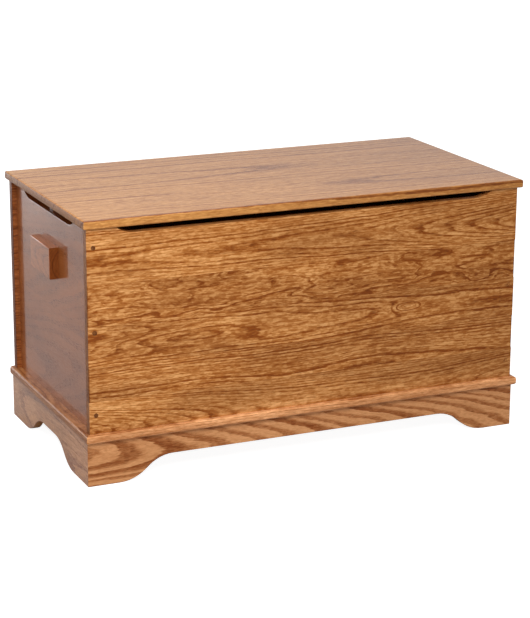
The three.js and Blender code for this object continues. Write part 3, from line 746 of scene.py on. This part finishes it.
def finish_base():
    for index, wall in enumerate(WALLS):
        board(f"apron_{wall}", wall, APRON_SEED + index, APRON_EASE, ("z+",), **APRON, **APRON_CUTS[wall])
        board(f"cap_rail_{wall}", wall, RAIL_SEED + index, tone=RAIL_PAINTED_LIGHT[wall], **RAIL)


def dress_inside():
    for side in SIDES:
        for end in ("front", "back"):
            dress(f"corner_block_{end}_{side}", INNER_WOOD)
    for wall in WALLS:
        dress(f"floor_cleat_{wall}", INNER_WOOD)
    dress("floor_panel", PLYWOOD)


def finish_hardware():
    for side in SIDES:
        for part in ("body_leaf", "lid_leaf", "pin"):
            finish_node(f"hinge_{side}_{part}", [BRASS])
        for part in ("wall_bracket", "lid_bracket", "elbow_rivet"):
            finish_node(f"stay_{side}_{part}", [STEEL])
        for part in ("lower_arm", "upper_arm"):
            finish_node(f"stay_{side}_{part}", [STEEL], ARM_EASE, steps=SMALL_STEPS)


# ------------------------------------------------------------------ screws

SCREW_METALS = {"brass": (BRASS, "hinge_brass"), "steel": (STEEL, "stay_steel")}
SCREW_SIDES = 24
SCREW_ROOT = 0.6 * MM                 # how far a pan head reaches into what it holds
PAN_SHOULDER = (0.9, 0.65)            # shares of its radius and height
PAN_CROWN = 0.72
CROSS_REACH = 0.56                    # shares of the head's radius
CROSS_HALF_WIDTH = 0.13
CROSS_DEPTH = 0.40
CROSS_TAPER = 0.8                     # size of the cross at its foot beside its rim


def screw_head(bm, place, facing, profile):
    """A turned screw head with a cross recess in its crown; profile goes up from the root."""
    turn = Vector(facing).to_track_quat("Z", "Y").to_matrix().to_4x4()
    put = Matrix.Translation(place) @ turn
    angles = [2 * math.pi * i / SCREW_SIDES for i in range(SCREW_SIDES)]

    def pairs(loop):
        return zip(loop, loop[1:] + loop[:1])

    def skin(lower, upper):
        for (a, b), (c, d) in zip(pairs(lower), pairs(upper)):
            bm.faces.new((a, b, d, c))

    rings = [[bm.verts.new(put @ Vector((size * math.cos(a), size * math.sin(a), level))) for a in angles]
             for size, level in profile]
    for lower, upper in zip(rings, rings[1:]):
        skin(lower, upper)
    bm.faces.new(rings[0][::-1])

    radius = max(size for size, level in profile)
    height = profile[-1][1]
    a, b = CROSS_HALF_WIDTH * radius, CROSS_REACH * radius
    cross = [(a, a), (a, b), (-a, b), (-a, a), (-b, a), (-b, -a), (-a, -a), (-a, -b), (a, -b), (a, -a),
             (b, -a), (b, a)]
    floor = height - CROSS_DEPTH * radius
    rim = [bm.verts.new(put @ Vector((u, v, height))) for u, v in cross]
    foot = [bm.verts.new(put @ Vector((u * CROSS_TAPER, v * CROSS_TAPER, floor))) for u, v in cross]
    skin(foot, rim)
    bm.faces.new(foot)
    crown = [bm.edges.get(ends) or bm.edges.new(ends) for loop in (rings[-1], rim) for ends in pairs(loop)]
    bmesh.ops.triangle_fill(bm, use_beauty=True, edges=crown)


def pan(radius, height):
    """The profile of a pan head that stands on a surface."""
    shoulder, rise = PAN_SHOULDER
    return [(radius, -SCREW_ROOT), (radius, 0.0), (shoulder * radius, rise * height),
            (PAN_CROWN * radius, height)]


def screws(name, places, facing, profile, made_of, body):
    """One piece that holds all the screw heads at these places."""
    material, slot = SCREW_METALS[made_of]
    bm = bmesh.new()
    for place in places:
        screw_head(bm, Vector(place), facing, profile)
    add_piece(name, bm, [material], body, slot)


SMALL_PAN = pan(3.6 * MM, 1.6 * MM)
SLIM_PAN = pan(3.6 * MM, 1.0 * MM)
LARGE_PAN = pan(5.2 * MM, 2.2 * MM)
FLUSH = [(2.05 * MM, -1.9 * MM), (3.8 * MM, -0.12 * MM)]
PLATE = 2.5 * MM                      # thickness of a stay bracket's plate

# Where the screws sit, from the middle of what they hold
WALL_SCREWS = (-21 * MM, 21 * MM)
LID_SCREW_REACH = 8 * MM
HANDLE_SCREWS = (-40 * MM, 40 * MM)
BATTEN_SCREWS = (-195 * MM, -65 * MM, 65 * MM, 195 * MM)
HINGE_SCREWS = ((-26 * MM, 6.5 * MM), (0.0, 12.5 * MM), (26 * MM, 6.5 * MM))


def add_stay_screws(side, sign):
    low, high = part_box(f"stay_{side}_wall_bracket")
    plate = (low.x + PLATE) if sign < 0 else (high.x - PLATE)
    middle = (low + high) / 2
    places = [(plate, middle.y, middle.z + step) for step in WALL_SCREWS]
    screws(f"stay_{side}_wall_screws", places, (-sign, 0, 0), SLIM_PAN, "steel", "case")

    low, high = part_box(f"stay_{side}_lid_bracket")
    across = sign * (min(abs(low.x), abs(high.x)) + LID_SCREW_REACH)
    middle = (low + high) / 2
    places = [(across, middle.y + step, high.z - PLATE) for step in (-LID_SCREW_REACH, LID_SCREW_REACH)]
    screws(f"stay_{side}_lid_screws", places, (0, 0, -1), SMALL_PAN, "steel", "lid")


def add_wood_screws(side, sign):
    low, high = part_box(f"handle_{side}")
    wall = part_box(f"end_board_{side}_2")
    inner = wall[1].x if sign < 0 else wall[0].x
    middle = (low + high) / 2
    places = [(inner, middle.y + step, middle.z) for step in HANDLE_SCREWS]
    screws(f"handle_{side}_screws", places, (-sign, 0, 0), LARGE_PAN, "brass", "case")

    low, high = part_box(f"lid_batten_{side}")
    places = [((low.x + high.x) / 2, step, low.z) for step in BATTEN_SCREWS]
    screws(f"batten_{side}_screws", places, (0, 0, -1), SMALL_PAN, "brass", "lid")


def add_hinge_screws(side):
    """Countersunk screws, just below the faces where the two leaves meet."""
    low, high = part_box(f"hinge_{side}_body_leaf")
    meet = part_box("lid_board_1")[0].z
    places = [((low.x + high.x) / 2 + across, low.y + deep, meet) for across, deep in HINGE_SCREWS]
    screws(f"hinge_{side}_body_screws", places, (0, 0, 1), FLUSH, "brass", "case")
    screws(f"hinge_{side}_lid_screws", places, (0, 0, -1), FLUSH, "brass", "lid")


finish_case()
finish_lid()
finish_base()
dress_inside()
finish_hardware()
for side, sign in SIDES.items():
    add_stay_screws(side, sign)
    add_wood_screws(side, sign)
    add_hinge_screws(side)

# ------------------------------------------------------------------ studio

FLOOR_HALF = 30
FLOOR_GLOW = 0.94
FLOOR_DROP = 0.4 * MM
FLOOR_FINISH = dict(Base_Color=(0.5, 0.5, 0.5, 1), Roughness=0.8, Specular_IOR_Level=0.1)
WORLD_LEVEL = 0.42                    # light from all round, beside what the camera sees

# Name, place, target, size and watts
LIGHTS = [
    ("key", (-1.0, -2.1, 1.85), (-0.1, -0.2, 0.35), (1.0, 1.0), 41),
    ("top", (-0.3, 0.4, 3.2), (0, 0, 0.5), (3.0, 3.0), 50),
    ("left_card", (-1.5, 2.6, 0.55), (-0.5, 0.0, 0.35), (1.4, 1.0), 15),
    ("backdrop", (1.0, 5.0, 1.8), (0.0, 0.0, 0.6), (6.0, 2.5), 6),
]


def make_floor():
    """A white floor that also glows to the camera, so that it stays white far from the lights."""
    mesh = bpy.data.meshes.new("studio_floor")
    half = FLOOR_HALF
    mesh.from_pydata([(-half, -half, 0), (half, -half, 0), (half, half, 0), (-half, half, 0)], [],
                     [(0, 1, 2, 3)])
    floor = bpy.data.objects.new("studio_floor", mesh)
    bpy.context.scene.collection.objects.link(floor)
    floor.location.z = -FLOOR_DROP
    material, g, shader = new_material("studio_floor")
    set_constants(shader, **FLOOR_FINISH)
    seen = g.node("ShaderNodeLightPath").outputs["Is Camera Ray"]
    g.feed(shader.inputs["Emission Color"], WHITE)
    g.feed(shader.inputs["Emission Strength"], g.times(seen, FLOOR_GLOW))
    mesh.materials.append(material)


def make_world():
    world = bpy.data.worlds.new("studio")
    bpy.context.scene.world = world
    world.use_nodes = True
    g = Graph(world.node_tree)
    background = world.node_tree.nodes["Background"]
    seen = g.node("ShaderNodeLightPath").outputs["Is Camera Ray"]
    g.feed(background.inputs["Strength"], g.fade(seen, 0.0, 1.0, WORLD_LEVEL, 1.0))
    background.inputs["Color"].default_value = WHITE


def area_light(name, place, target, size, watts):
    data = bpy.data.lights.new(name, "AREA")
    data.shape = "RECTANGLE"
    data.size, data.size_y = size
    data.energy = watts
    light = bpy.data.objects.new(name, data)
    bpy.context.scene.collection.objects.link(light)
    light.location = place
    light.rotation_mode = "QUATERNION"
    light.rotation_quaternion = (Vector(target) - Vector(place)).to_track_quat("-Z", "Y")
    light.visible_camera = False


make_floor()
make_world()
for light in LIGHTS:
    area_light(*light)
bpy.context.scene.view_settings.view_transform = "Standard"
